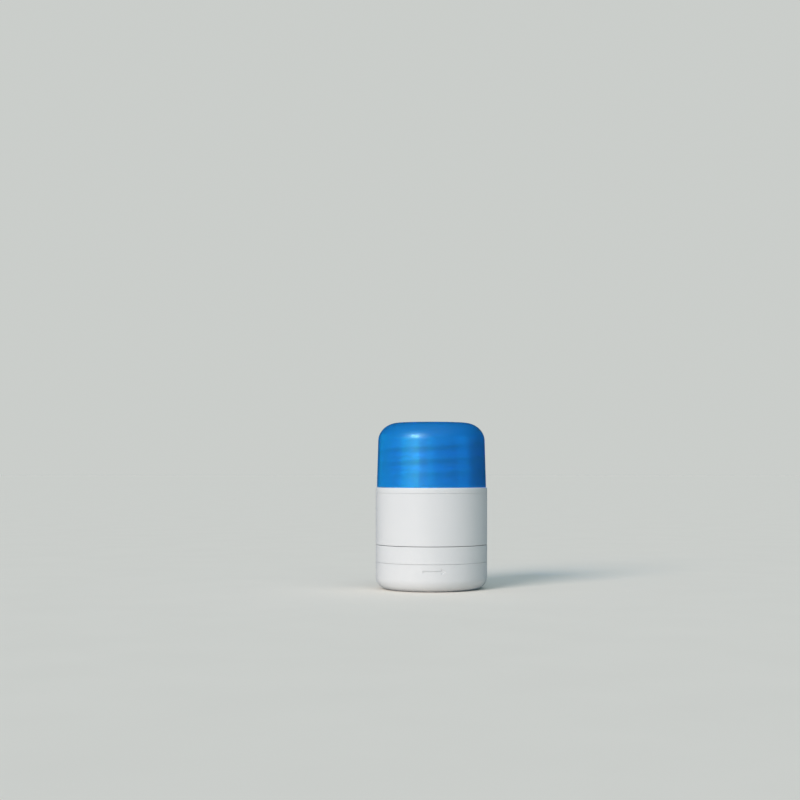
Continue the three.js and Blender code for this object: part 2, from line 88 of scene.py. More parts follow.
LID_INNER_R = BODY_R - 1.8
LID_FLOOR = 2.0
WELL_R = 19.6
SPIGOT_R = 20.85
MOUTH_R = 21.85
BORE_R = 20.05
LEDGE = 23.6
NOTCH_HALF = 10.5
NOTCH_RISE = 3.0
NOTCH_INNER_Y = 18.6
KNUCKLE_R = 1.5
WEB_BACK = 1.05
EAR_WEB_BOTTOM = 4.5
LUG_HALF = 2.6
EAR_INNER = 2.9
EAR_OUTER = 6.4
PIN_R = 0.6
PIN_BORE_R = 0.8
SCREW_HEAD_R = 1.6
SCREW_HOLE_R = 1.0
SCREW_X = high("holder_screw_right", X) - SCREW_HEAD_R
TEARDROP_Y = 4.0
PLUNGER_R = 17.9
CUP_BORE_R = 19.6
CUP_SHOULDER_R = 22.0
POWDER_R = 15.4
POWDER_ROOF = 60.6
CUP_FLOOR = 66.7

# how each thread winds: rise in a turn, starts, angle and height where it begins, turns,
# and the widths of its root and crest
PLUNGER_THREAD = dict(lead=5.25, starts=1, angle=TURN / 4, first_z=45.65, turns=2.65, root=4.9, crest=0.5)
CUP_THREAD = dict(PLUNGER_THREAD, angle=-TURN / 4)
BASE_THREAD = dict(lead=6.4, starts=2, angle=0.0, first_z=19.6, turns=0.34, root=1.15, crest=0.6)
BODY_THREAD = dict(BASE_THREAD, angle=TURN / 4)
PLUNGER_RIDGE = 1.35
CUP_RIDGE = 1.3
LUG_RIDGE = 0.7
LUG_RUN_OUT = 0.08


# ---- outlines ----------------------------------------------------------------------------

def arc(cx, cy, rx, ry, start, end, steps):
    """Points along an arc of an ellipse, with its angles in degrees."""
    angles = np.radians(np.linspace(start, end, steps + 1))
    return [(cx + rx * math.cos(a), cy + ry * math.sin(a)) for a in angles]


def column(radius, z0, z1, step=0.2):
    """Closely spaced points up a straight wall, for a thread to be raised from."""
    count = max(2, round(abs(z1 - z0) / step))
    return [(radius, z) for z in np.linspace(z0, z1, count + 1)]


def rounded(corners, closed=False, steps=4):
    """The outline through (x, y) or (x, y, radius) corners, with each corner rounded by its radius."""
    points = []
    count = len(corners)
    for i, corner in enumerate(corners):
        radius = corner[2] if len(corner) > 2 else 0
        if radius == 0 or (not closed and i in (0, count - 1)):
            points.append((corner[0], corner[1]))
            continue
        here = np.array(corner[:2], float)
        back = np.array(corners[i - 1][:2], float) - here
        ahead = np.array(corners[(i + 1) % count][:2], float) - here
        back_length, ahead_length = np.linalg.norm(back), np.linalg.norm(ahead)
        back, ahead = back / back_length, ahead / ahead_length
        half = math.acos(np.clip(back @ ahead, -1, 1)) / 2
        reach = min(radius / math.tan(half), 0.49 * back_length, 0.49 * ahead_length)
        middle = back + ahead
        centre = here + middle / np.linalg.norm(middle) * reach / math.cos(half)
        start, end = here + back * reach - centre, here + ahead * reach - centre
        sweep = math.atan2(start[0] * end[1] - start[1] * end[0], start @ end)
        for k in range(steps + 1):
            a = sweep * k / steps
            turned = np.array([
                start[0] * math.cos(a) - start[1] * math.sin(a),
                start[0] * math.sin(a) + start[1] * math.cos(a),
            ])
            points.append(tuple(centre + turned))
    return points


# ---- meshes ------------------------------------------------------------------------------

def mesh_object(name, vertices, faces, sharp=None):
    """A closed smooth-shaded object from vertices in millimetres."""
    mesh = bpy.data.meshes.new(name)
    mesh.from_pydata([tuple(float(c) * MM for c in v) for v in vertices], [], faces)
    tidy = bmesh.new()
    tidy.from_mesh(mesh)
    bmesh.ops.recalc_face_normals(tidy, faces=tidy.faces)
    tidy.to_mesh(mesh)
    tidy.free()
    obj = bpy.data.objects.new(name, mesh)
    bpy.context.scene.collection.objects.link(obj)
    smooth(obj, sharp)
    return obj


def smooth(obj, sharp=None):
    """Smooth shading, with edges sharper than the given angle in degrees kept crisp."""
    obj.data.shade_smooth()
    if sharp is not None:
        obj.data.set_sharp_from_angle(angle=math.radians(sharp))


def loft(name, loops, closed=False, sharp=None):
    """A skin over loops of equal point count. A loop of one point closes an end."""
    vertices, rows = [], []
    for loop in loops:
        rows.append(range(len(vertices), len(vertices) + len(loop)))
        vertices.extend(loop)
    faces = []
    pairs = list(zip(rows, rows[1:]))
    if closed:
        pairs.append((rows[-1], rows[0]))
    for a, b in pairs:
        count = max(len(a), len(b))
        for i in range(count):
            j = (i + 1) % count
            if len(a) == 1:
                faces.append((a[0], b[j], b[i]))
            elif len(b) == 1:
                faces.append((a[i], a[j], b[0]))
            else:
                faces.append((a[i], a[j], b[j], b[i]))
    if not closed:
        if len(rows[0]) > 1:
            faces.append(tuple(reversed(rows[0])))
        if len(rows[-1]) > 1:
            faces.append(tuple(rows[-1]))
    return mesh_object(name, vertices, faces, sharp)


def revolve(name, outline, closed=False, segments=160, raise_by=None):
    """A solid of revolution about Z. raise_by(radius, angle, z) says how far a point moves outward."""
    loops = []
    for radius, z in outline:
        if radius < 1e-6:
            loops.append([(0, 0, z)])
            continue
        loop = []
        for i in range(segments):
            angle = TURN * i / segments
            r = radius + (raise_by(radius, angle, z) if raise_by else 0)
            loop.append((r * math.cos(angle), r * math.sin(angle), z))
        loops.append(loop)
    return loft(name, loops, closed)


def ease(t):
    """A smooth step from 0 to 1."""
    t = min(1.0, max(0.0, t))
    return t * t * (3 - 2 * t)


def thread(wall, height, winding, run_out=0.14):
    """raise_by for a thread of that height on the wall of that radius, with its ends running out."""
    lead, pitch = winding["lead"], winding["lead"] / winding["starts"]

    def raise_by(radius, angle, z):
        if abs(radius - wall) > 1e-6:
            return 0.0
        along = z - winding["first_z"] - lead * (angle - winding["angle"]) / TURN
        offset = along - round(along / pitch) * pitch
        turn = (z - offset - winding["first_z"]) / lead
        grown = ease(min(turn, winding["turns"] - turn) / run_out)
        flank = (winding["root"] - winding["crest"]) / 2
        return height * grown * (1 - ease((abs(offset) - winding["crest"] / 2) / flank))

    return raise_by


def block(name, x, y, z, edge=0.0):
    """A box between two values on each axis, with its edges rounded."""
    corners = [(a, b, c) for a in x for b in y for c in z]
    faces = [(0, 1, 3, 2), (4, 6, 7, 5), (0, 4, 5, 1), (2, 3, 7, 6), (0, 2, 6, 4), (1, 5, 7, 3)]
    obj = mesh_object(name, corners, faces)
    if edge:
        round_edges(obj, edge)
    return obj


def round_edges(obj, width, angle=40, segments=3):
    """Rounds the sharp edges of a mesh in place."""
    bevel = obj.modifiers.new("edges", "BEVEL")
    bevel.width = width * MM
    bevel.segments = segments
    bevel.limit_method = "ANGLE"
    bevel.angle_limit = math.radians(angle)
    bevel.use_clamp_overlap = True
    settle(obj)


def settle(obj):
    """Makes the modifiers' result the object's own mesh."""
    seen = obj.evaluated_get(bpy.context.evaluated_depsgraph_get())
    mesh = bpy.data.meshes.new_from_object(seen)
    obj.modifiers.clear()
    obj.data = mesh


def combine(obj, operation, *tools):
    """Joins or cuts obj with the tools, which are used up."""
    for tool in tools:
        modifier = obj.modifiers.new("combine", "BOOLEAN")
        modifier.operation = operation
        modifier.solver = "EXACT"
        modifier.object = tool
        settle(obj)
        bpy.data.objects.remove(tool)
    return obj


def rod_x(name, radius, x0, x1, y, z, edge=0.15, segments=48):
    """A rod along X with rounded ends."""
    outline = rounded([(0, x0), (radius, x0, edge), (radius, x1, edge), (0, x1)])
    loops = []
    for r, x in outline:
        angles = [TURN * i / segments for i in range(segments)] if r > 1e-6 else [0]
        loops.append([(x, y + r * math.cos(a), z + r * math.sin(a)) for a in angles])
    return loft(name, loops)


# ---- materials ---------------------------------------------------------------------------

class Nodes:
    """A material's node tree, with short calls to add and link nodes."""

    def __init__(self, name):
        self.material = bpy.data.materials.new(name)
        self.material.use_nodes = True
        self.tree = self.material.node_tree
        self.shader = self.tree.nodes["Principled BSDF"]
        self.output = self.tree.nodes["Material Output"]

    def add(self, kind, **settings):
        node = self.tree.nodes.new("ShaderNode" + kind)
        for key, value in settings.items():
            setattr(node, key, value)
        return node

    def link(self, out, into):
        self.tree.links.new(out, into)

    def place(self):
        return self.add("TexCoord").outputs["Object"]

    def noise(self, scale, detail=3.0, roughness=0.5, vector=None):
        node = self.add("TexNoise")
        node.inputs["Scale"].default_value = scale
        node.inputs["Detail"].default_value = detail
        node.inputs["Roughness"].default_value = roughness
        self.link(vector if vector is not None else self.place(), node.inputs["Vector"])
        return node.outputs["Fac"]

    def spread(self, value, least, most):
        """Maps a value around 0.5 to the range from least to most."""
        node = self.add("MapRange")
        node.inputs["From Min"].default_value = 0.3
        node.inputs["From Max"].default_value = 0.7
        node.inputs["To Min"].default_value = least
        node.inputs["To Max"].default_value = most
        self.link(value, node.inputs["Value"])
        return node.outputs["Result"]

    def blend(self, factor, first, second):
        node = self.add("Mix", data_type="RGBA")
        self.link(factor, node.inputs["Factor"])
        node.inputs["A"].default_value = (*first, 1)
        node.inputs["B"].default_value = (*second, 1)
        return node.outputs["Result"]

    def bump(self, height, strength, distance):
        node = self.add("Bump")
        node.inputs["Strength"].default_value = strength
        node.inputs["Distance"].default_value = distance
        self.link(height, node.inputs["Height"])
        self.link(node.outputs["Normal"], self.shader.inputs["Normal"])


def moulded_plastic(name, colour, shade, roughness, ripple=0.12, skin=0.0):
    """Injection-moulded plastic: a faint drift of tone, an uneven gloss and the mould's fine texture."""
    n = Nodes(name)
    tone = n.spread(n.noise(55, 2), 0, 1)
    n.link(n.blend(tone, colour, shade), n.shader.inputs["Base Color"])
    gloss = n.spread(n.noise(420, 4), roughness - 0.05, roughness + 0.06)
    n.link(gloss, n.shader.inputs["Roughness"])
    n.bump(n.noise(2600, 3, 0.6), ripple, 0.00004)
    n.shader.inputs["IOR"].default_value = 1.49
    if skin:
        n.shader.inputs["Subsurface Weight"].default_value = skin
        n.shader.inputs["Subsurface Radius"].default_value = (1.0, 0.95, 0.9)
        n.shader.inputs["Subsurface Scale"].default_value = 0.0012
    return n.material


def clear_plastic(name, colour, shade, roughness, see_through, absorbed, density, lets_in):
    """Dyed translucent plastic. Its colour deepens with the length of the way through it."""
    n = Nodes(name)
    tone = n.spread(n.noise(48, 2), 0, 1)
    n.link(n.blend(tone, colour, shade), n.shader.inputs["Base Color"])
    gloss = n.spread(n.noise(300, 3), roughness - 0.02, roughness + 0.03)
    n.link(gloss, n.shader.inputs["Roughness"])
    n.bump(n.noise(900, 2), 0.05, 0.00003)
    n.shader.inputs["IOR"].default_value = 1.49
    n.shader.inputs["Specular IOR Level"].default_value = 0.3
    n.shader.inputs["Transmission Weight"].default_value = see_through
    n.shader.inputs["Coat Weight"].default_value = 0.28
    n.shader.inputs["Coat Roughness"].default_value = 0.1
    path = n.add("LightPath")
    passed = n.add("BsdfTransparent")
    passed.inputs["Color"].default_value = (*lets_in, 1)
    mix = n.add("MixShader")
    n.link(path.outputs["Is Shadow Ray"], mix.inputs["Fac"])
    n.link(n.shader.outputs["BSDF"], mix.inputs[1])
    n.link(passed.outputs["BSDF"], mix.inputs[2])
    n.link(mix.outputs["Shader"], n.output.inputs["Surface"])
    dye = n.add("VolumeAbsorption")
    dye.inputs["Color"].default_value = (*absorbed, 1)
    dye.inputs["Density"].default_value = density
    n.link(dye.outputs["Volume"], n.output.inputs["Volume"])
    return n.material


def ground_steel(name, colour, roughness, grain):
    """Steel with fine grinding lines along its length."""
    n = Nodes(name)
    stretch = n.add("Mapping")
    stretch.inputs["Scale"].default_value = grain
    n.link(n.place(), stretch.inputs["Vector"])
    lines = n.noise(1000, 4, 0.6, stretch.outputs["Vector"])
    dark = tuple(0.82 * c for c in colour)
    n.link(n.blend(n.spread(lines, 0, 1), dark, colour), n.shader.inputs["Base Color"])
    n.link(n.spread(lines, roughness - 0.06, roughness + 0.1), n.shader.inputs["Roughness"])
    n.bump(lines, 0.15, 0.00002)
    n.shader.inputs["Metallic"].default_value = 1.0
    return n.material


def silicone(name, colour, roughness):
    """Soft rubber with a dusty, faintly grained skin."""
    n = Nodes(name)
    dark = tuple(0.9 * c for c in colour)
    n.link(n.blend(n.spread(n.noise(700, 4), 0, 1), dark, colour), n.shader.inputs["Base Color"])
    n.link(n.spread(n.noise(1500, 3), roughness - 0.08, roughness + 0.08), n.shader.inputs["Roughness"])
    n.bump(n.noise(4200, 3, 0.65), 0.25, 0.00004)
    return n.material


WHITE_SHELL = moulded_plastic("white_shell", (0.775, 0.785, 0.785), (0.76, 0.772, 0.775), 0.36, skin=0.15)
WHITE_INNER = moulded_plastic("white_inner", (0.77, 0.80, 0.79), (0.755, 0.788, 0.78), 0.33, 0.08, skin=0.08)
BLUE_CLEAR = clear_plastic("blue_clear", (0.0112, 0.335, 0.685), (0.0107, 0.325, 0.665), 0.37, 0.6,
                           absorbed=(0.36, 0.745, 0.975), density=350, lets_in=(0.5, 0.9, 0.98))
BLADE_STEEL = ground_steel("blade_steel", (0.62, 0.64, 0.66), 0.24, (1, 0.15, 3))
PLATED_STEEL = ground_steel("plated_steel", (0.60, 0.61, 0.63), 0.3, (1, 1, 1))
SEAL = silicone("seal_rubber", (0.66, 0.72, 0.75), 0.55)
PAD = silicone("soft_pad", (0.40, 0.50, 0.58), 0.62)


def install(obj, node, body, material):
    """Gives a piece its material and sets it in its CAD node's place."""
    obj.data.materials.clear()
    obj.data.materials.append(material)
    weigh = obj.modifiers.new("normals", "WEIGHTED_NORMAL")
    weigh.keep_sharp = True
    weigh.weight = 80
    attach(obj, body)
    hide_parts(node)
    return obj


def rotation_about_z(angle):
    return Matrix.Rotation(angle, 4, "Z")


def shift_x(distance):
    return Matrix.Translation((distance * MM, 0, 0))


# ---- crush cup and its seal --------------------------------------------------------------

def grind_ribs(inner, outer, z0, z1, count=6):
    """Low rounded ribs that run out from the middle of a grinding face."""
    ribs = []
    for i in range(count):
        rib = block("rib", (inner, outer), (-0.5, 0.5), (z0, z1), 0.3)
        rib.data.transform(rotation_about_z(TURN * i / count))
        ribs.append(rib)
    return ribs


def crush_cup():
    shoulder_width, shoulder_z = 8.5, 60.9
    centre = CUP_SHOULDER_R - shoulder_width
    seal_inner, seal_outer, seal_roof = 20.1, CUP_MOUTH_R - 0.8, CUP_BOTTOM + 0.95
    inner = 5.0
    outline = [(0, CUP_FLOOR)]
    outline += arc(CUP_BORE_R - inner, CUP_FLOOR - inner, inner, inner, 90, 0, 14)
    outline += column(CUP_BORE_R, CUP_FLOOR - inner - 0.3, CUP_BOTTOM + 0.5)
    outline += rounded([
        (CUP_BORE_R, CUP_BOTTOM + 0.4), (CUP_BORE_R, CUP_BOTTOM, 0.15), (seal_inner, CUP_BOTTOM, 0.1),
        (seal_inner, seal_roof, 0.1), (seal_outer, seal_roof, 0.1), (seal_outer, CUP_BOTTOM, 0.1),
        (CUP_MOUTH_R, CUP_BOTTOM, 0.25), (CUP_MOUTH_R - 0.02, CUP_BOTTOM + 0.8),
    ])[1:]
    outline += arc(centre, shoulder_z, shoulder_width, CUP_TOP - shoulder_z, 0, 90, 26)
    outline.append((0, CUP_TOP))
    obj = revolve("crush_cup_moulding", outline, raise_by=thread(CUP_BORE_R, -CUP_RIDGE, CUP_THREAD))
    combine(obj, "UNION", *grind_ribs(3, 12, CUP_FLOOR - RIB_RISE, CUP_FLOOR + RIB_RISE))
    smooth(obj, 50)
    return obj


def cup_seal():
    z0, z1 = low("cup_seal_ring", Z), high("cup_seal_ring", Z)
    outer = high("cup_seal_ring", X)
    inner = CUP_BORE_R + 0.75
    corners = [(inner, z0, 0.25), (outer, z0, 0.25), (outer, z1, 0.25), (inner, z1, 0.25)]
    return revolve("cup_seal_moulding", rounded(corners, closed=True), closed=True)


# ---- plunger and main body ---------------------------------------------------------------

def plunger():
    locate_outer, locate_bottom = BORE_R - 0.3, low("plunger", Z)
    locate_inner, chamfer = locate_outer - 1.2, 1.5
    outline = rounded([
        (0, POWDER_ROOF), (POWDER_R, POWDER_ROOF, 2.0), (POWDER_R, FLANGE_BOTTOM, 0.6),
        (locate_inner, FLANGE_BOTTOM, 0.3), (locate_inner, locate_bottom, 0.2),
        (locate_outer, locate_bottom, 0.3), (locate_outer, FLANGE_BOTTOM, 0.1),
        (BODY_R, FLANGE_BOTTOM, 0.03), (BODY_R, FLANGE_TOP, 0.45), (PLUNGER_R, FLANGE_TOP, 0.3),
        (PLUNGER_R, FLANGE_TOP + 1),
    ], steps=5)
    outline += column(PLUNGER_R, FLANGE_TOP + 1.1, PLUNGER_TOP - chamfer - 0.1)
    outline += rounded([
        (PLUNGER_R, PLUNGER_TOP - chamfer - 0.08), (PLUNGER_R, PLUNGER_TOP - chamfer, 0.4),
        (PLUNGER_R - chamfer, PLUNGER_TOP, 0.5), (0, PLUNGER_TOP),
    ])[1:]
    obj = revolve("plunger_moulding", outline, raise_by=thread(PLUNGER_R, PLUNGER_RIDGE, PLUNGER_THREAD))
    combine(obj, "UNION", *grind_ribs(3, 13.5, PLUNGER_TOP - RIB_RISE, PLUNGER_TOP + RIB_RISE))
    smooth(obj, 50)
    return obj


def main_body():
    outline = rounded([
        (MOUTH_R, LEDGE - 0.3), (MOUTH_R, LEDGE, 0.2), (BORE_R, LEDGE, 0.3),
        (BORE_R, BODY_TOP, 0.2), (BODY_R, BODY_TOP, 0.03), (BODY_R, BODY_BOTTOM, 0.2),
        (MOUTH_R, BODY_BOTTOM, 0.25), (MOUTH_R, BODY_BOTTOM + 0.4),
    ])
    outline += column(MOUTH_R, BODY_BOTTOM + 0.45, LEDGE - 0.35, 0.12)
    lugs = thread(MOUTH_R, -LUG_RIDGE, BODY_THREAD, LUG_RUN_OUT)
    return revolve("main_body_moulding", outline, closed=True, segments=192, raise_by=lugs)


def body_seal():
    z0, z1 = low("body_seal_ring", Z), high("body_seal_ring", Z)
    outer, inner = high("body_seal_ring", X), BORE_R + 0.15
    corners = [(inner, z0, 0.2), (outer, z0, 0.2), (outer, z1, 0.2), (inner, z1, 0.2)]
    return revolve("body_seal_moulding", rounded(corners, closed=True), closed=True)


# ---- tablet cup --------------------------------------------------------------------------

def tablet_cup():
    outer, rim = 19.3, high("tablet_cup", X)
    wall, corner = 1.2, 7.0
    outline = [(0, TABLET_TOP - wall)]
    outline += arc(outer - corner, TABLET_TOP - corner, corner - wall, corner - wall, 90, 0, 12)
    outline += rounded([
        (outer - wall, TABLET_MOUTH + 2), (outer - wall, TABLET_MOUTH, 0.35), (rim, TABLET_MOUTH, 0.35),
        (rim, TABLET_MOUTH + 1.4, 0.3), (outer, TABLET_MOUTH + 1.8, 0.2), (outer, TABLET_MOUTH + 3),
    ])
    outline += arc(outer - corner, TABLET_TOP - corner, corner, corner, 0, 90, 14)
    outline.append((0, TABLET_TOP))
    return revolve("tablet_cup_moulding", outline)


def tablet_divider():
    side = high("tablet_divider", X)
    z0, z1 = low("tablet_divider", Z), high("tablet_divider", Z)
    half = high("tablet_divider", Y)
    corner = 5.8
    outline = rounded([(-side, z0, 0.3), (side, z0, 0.3), (side, z1, corner), (-side, z1, corner)],
                      closed=True, steps=12)
    loops = [[(x, y, z) for x, z in outline] for y in (-half, half)]
    obj = loft("tablet_divider_moulding", loops)
    round_edges(obj, 0.3)
    return obj


# ---- cutter base and what it holds -------------------------------------------------------

def cutter_base():
    lip_r, lip_bottom = LID_INNER_R - 0.3, BASE_BOTTOM - 1.4
    plate_bottom = PLATE_TOP - 1.6
    outline = rounded([
        (0, plate_bottom), (WELL_R, plate_bottom, 0.8), (WELL_R, lip_bottom, 0.25),
        (lip_r, lip_bottom, 0.35), (lip_r, BASE_BOTTOM, 0.1), (BODY_R, BASE_BOTTOM, 0.06),
        (BODY_R, BASE_SHOULDER, 0.2), (SPIGOT_R, BASE_SHOULDER, 0.2), (SPIGOT_R, BASE_SHOULDER + 0.6),
    ])
    outline += column(SPIGOT_R, BASE_SHOULDER + 0.65, PLATE_TOP - 0.5, 0.12)
    outline += rounded([(SPIGOT_R, PLATE_TOP - 0.45), (SPIGOT_R, PLATE_TOP, 0.35), (0, PLATE_TOP)])[1:]
    lugs = thread(SPIGOT_R, LUG_RIDGE, BASE_THREAD, LUG_RUN_OUT)
    obj = revolve("cutter_base_moulding", outline, segments=192, raise_by=lugs)
    roof = HINGE_Z + NOTCH_RISE
    notch = block("notch", (-NOTCH_HALF, NOTCH_HALF), (NOTCH_INNER_Y, BODY_R + 1), (lip_bottom - 1, roof))
    combine(obj, "DIFFERENCE", notch)
    round_edges(obj, 0.18, angle=50)
    web = block("web", (-LUG_HALF, LUG_HALF), (HINGE_Y - KNUCKLE_R, HINGE_Y + WEB_BACK),
                (HINGE_Z, roof + 0.6), 0.2)
    lug = rod_x("lug", KNUCKLE_R, -LUG_HALF, LUG_HALF, HINGE_Y, HINGE_Z, 0.2)
    bore = rod_x("bore", PIN_BORE_R, -EAR_OUTER, EAR_OUTER, HINGE_Y, HINGE_Z, 0)
    combine(obj, "UNION", web, lug)
    combine(obj, "DIFFERENCE", bore)
    smooth(obj, 35)
    return obj


def teardrop(round_r, point_y, blunt):
    """Outline with a round end at +Y and a blunted point at -Y."""
    half = math.degrees(math.asin((round_r - blunt) / (TEARDROP_Y - point_y - blunt)))
    return (arc(0, TEARDROP_Y, round_r, round_r, -half, 180 + half, 44)
            + arc(0, point_y + blunt, blunt, blunt, 180 + half, 360 - half, 10))


def pill_holder():
    z0, z1 = low("pill_holder", Z), high("pill_holder", Z)
    pocket_floor = 18.6
    outer_r, pocket_r = 10.5, 8.2
    outer_point, pocket_point = low("pill_holder", Y), -12.6

    def outer(inset, z):
        outline = teardrop(outer_r - inset, outer_point + inset * 1.6, max(0.3, 1.6 - inset))
        return [(x, y, z) for x, y in outline]

    def pocket(inset, z):
        outline = teardrop(pocket_r - inset, pocket_point + inset * 1.6, max(0.2, 0.8 - inset))
        return [(x, y, z) for x, y in outline]

    loops = [[(0, TEARDROP_Y, z1)], outer(0, z1)]
    for a in np.radians(np.linspace(0, 90, 5)):
        loops.append(outer(0.45 * (1 - math.cos(a)), z0 + 0.45 * (1 - math.sin(a))))
    for a in np.radians(np.linspace(0, 90, 5)):
        loops.append(pocket(-0.35 * (1 - math.sin(a)), z0 + 0.35 * (1 - math.cos(a))))
    for a in np.radians(np.linspace(0, 90, 4)):
        loops.append(pocket(0.4 * (1 - math.cos(a)), pocket_floor - 0.4 * (1 - math.sin(a))))
    loops.append([(0, TEARDROP_Y, pocket_floor)])
    return loft("pill_holder_moulding", loops, sharp=50)


def pill_pad():
    z0, z1 = low("pill_pad", Z), high("pill_pad", Z)
    radius, point = high("pill_pad", X), low("pill_pad", Y)
    loops = [[(0, TEARDROP_Y, z1)]]
    for inset, z in ((0, z1), (0, z0 + 0.25), (0.08, z0 + 0.08), (0.25, z0)):
        outline = teardrop(radius - inset, point + inset * 1.6, 0.6)
        loops.append([(x, y, z) for x, y in outline])
    loops.append([(0, TEARDROP_Y, z0)])
    return loft("pill_pad_moulding", loops, sharp=50)


# ---- cutter lid and its blade ------------------------------------------------------------

def arrow():
    """The arrow on the lid's front as two wedges bent round the lid, to be cut out of it."""
    tail, neck, tip = -3.5, 3.9, 5.8
    half, head, z = 0.4, 1.35, 8.4
    depth, flank = 0.3, 0.1

    def wedge(name, outline):
        middle = np.mean(outline, axis=0)
        loops = []
        for r, inset in ((BODY_R - depth, flank), (BODY_R, 0.0), (BODY_R + 1, 0.0)):
            loop = []
            for corner in outline:
                away = corner - middle
                x, up = middle + away * (1 - inset / np.linalg.norm(away))
                loop.append((r * math.sin(x / BODY_R), -r * math.cos(x / BODY_R), z + up))
            loops.append(loop)
        return loft(name, loops)

    xs = np.linspace(tail, neck + 0.2, 18)
    shaft = [(x, -half) for x in xs] + [(x, half) for x in reversed(xs)]
    edge = [(neck + (tip - neck) * t, -head * (1 - t)) for t in np.linspace(0, 1, 6)]
    point = edge + [(x, -up) for x, up in reversed(edge[:-1])]
    return wedge("arrow_shaft", np.array(shaft)), wedge("arrow_head", np.array(point))


def cutter_lid():
    corner, fillet = 5.0, 3.0
    outline = [(0, 0)]
    outline += arc(BODY_R - corner, corner, corner, corner, -90, 0, 16)
    outline += rounded([
        (BODY_R, corner + 1), (BODY_R, LID_TOP, 0.06), (LID_INNER_R, LID_TOP, 0.3),
        (LID_INNER_R, LID_FLOOR + fillet + 1),
    ])
    outline += arc(LID_INNER_R - fillet, LID_FLOOR + fillet, fillet, fillet, 0, -90, 10)
    outline.append((0, LID_FLOOR))
    obj = revolve("cutter_lid_moulding", outline, segments=192)
    notch = block("notch", (-NOTCH_HALF, NOTCH_HALF), (NOTCH_INNER_Y, BODY_R + 1),
                  (HINGE_Z - NOTCH_RISE, LID_TOP + 2))
    combine(obj, "DIFFERENCE", notch)
    round_edges(obj, 0.18, angle=50)
    combine(obj, "DIFFERENCE", *arrow())
    boss_outline = rounded([(0, LID_FLOOR - 0.5), (1.9, LID_FLOOR - 0.5), (1.9, 3.2, 0.2), (0, 3.2)])
    for side in (-1, 1):
        x = sorted((side * EAR_INNER, side * EAR_OUTER))
        web = block("web", x, (HINGE_Y - KNUCKLE_R, HINGE_Y + WEB_BACK), (EAR_WEB_BOTTOM, HINGE_Z), 0.2)
        ear = rod_x("ear", KNUCKLE_R, x[0], x[1], HINGE_Y, HINGE_Z, 0.2)
        boss = revolve("boss", boss_outline, segments=40)
        boss.data.transform(shift_x(side * SCREW_X))
        combine(obj, "UNION", web, ear, boss)
        combine(obj, "DIFFERENCE", screw_hole(side, 1, 4))
    bore = rod_x("bore", PIN_BORE_R, -EAR_OUTER - 1, EAR_OUTER + 1, HINGE_Y, HINGE_Z, 0)
    combine(obj, "DIFFERENCE", bore)
    smooth(obj, 35)
    return obj


def screw_hole(side, z0, z1):
    """The tool that cuts the hole for the screw on that side."""
    outline = [(0, z0), (SCREW_HOLE_R, z0), (SCREW_HOLE_R, z1), (0, z1)]
    tool = revolve("hole", outline, segments=32)
    tool.data.transform(shift_x(side * SCREW_X))
    return tool


def leaf(half_width, tip, steps=28):
    """Outline of two equal arcs that meet in points at both ends, along Y."""
    radius = (tip * tip + half_width * half_width) / (2 * half_width)
    sweep = math.degrees(math.asin(tip / radius))
    right = arc(half_width - radius, 0, radius, radius, -sweep, sweep, steps)
    left = arc(radius - half_width, 0, radius, radius, 180 - sweep, 180 + sweep, steps)
    return right + left[1:-1]


def blade_holder():
    """A pointed leaf-shaped foot, with a narrower leaf on it that grips the blade."""
    z0, z1 = low("blade_holder", Z), high("blade_holder", Z)
    foot_top = 5.0
    foot = high("blade_holder", X), high("blade_holder", Y)
    tower = 3.4, 11.0

    def levels(size, *places):
        """The leaf of that half width and tip, inset and at the height of each place."""
        half, tip = size
        return [[(x, y, z) for x, y in leaf(half - inset, tip - inset * tip / half)] for z, inset in places]

    loops = levels(foot, (z0, 0.2), (z0 + 0.2, 0),
                   (foot_top - 0.3, 0), (foot_top - 0.09, 0.09), (foot_top, 0.3))
    loops += levels(tower, (foot_top, -0.35), (foot_top + 0.1, -0.1), (foot_top + 0.35, 0),
                    (z1 - 0.9, 0.55), (z1 - 0.3, 0.9), (z1, 1.4))
    obj = loft("blade_holder_moulding", loops)
    y0, y1 = low("blade", Y) - 0.3, high("blade", Y) + 0.3
    slot_tool = block("slot", (-0.45, 0.45), (y0, y1), (low("blade", Z) - 0.3, z1 + 1))
    combine(obj, "DIFFERENCE", slot_tool)
    for side in (-1, 1):
        combine(obj, "DIFFERENCE", screw_hole(side, 0, 8))
    smooth(obj, 35)
    return obj


def blade():
    """A blade with rounded corners and an edge ground from both sides, thin at the top."""
    y0, y1 = low("blade", Y), high("blade", Y)
    z0, z1 = low("blade", Z), high("blade", Z)
    half = high("blade", X)
    grind, corner = 2.4, 2.2
    rows = []
    for t in np.linspace(0, 1, 49):
        y = y0 + (y1 - y0) * t
        inward = min(y - y0, y1 - y)
        drop = 0.0
        if inward < corner:
            drop = corner - math.sqrt(max(0.0, corner ** 2 - (corner - inward) ** 2))
        top = z1 - drop
        rows.append([
            (-half, y, z0), (half, y, z0), (half, y, top - grind), (half * 0.35, y, top - 0.5),
            (0.02, y, top), (-0.02, y, top), (-half * 0.35, y, top - 0.5), (-half, y, top - grind),
        ])
    return loft("blade_blank", rows, sharp=5)


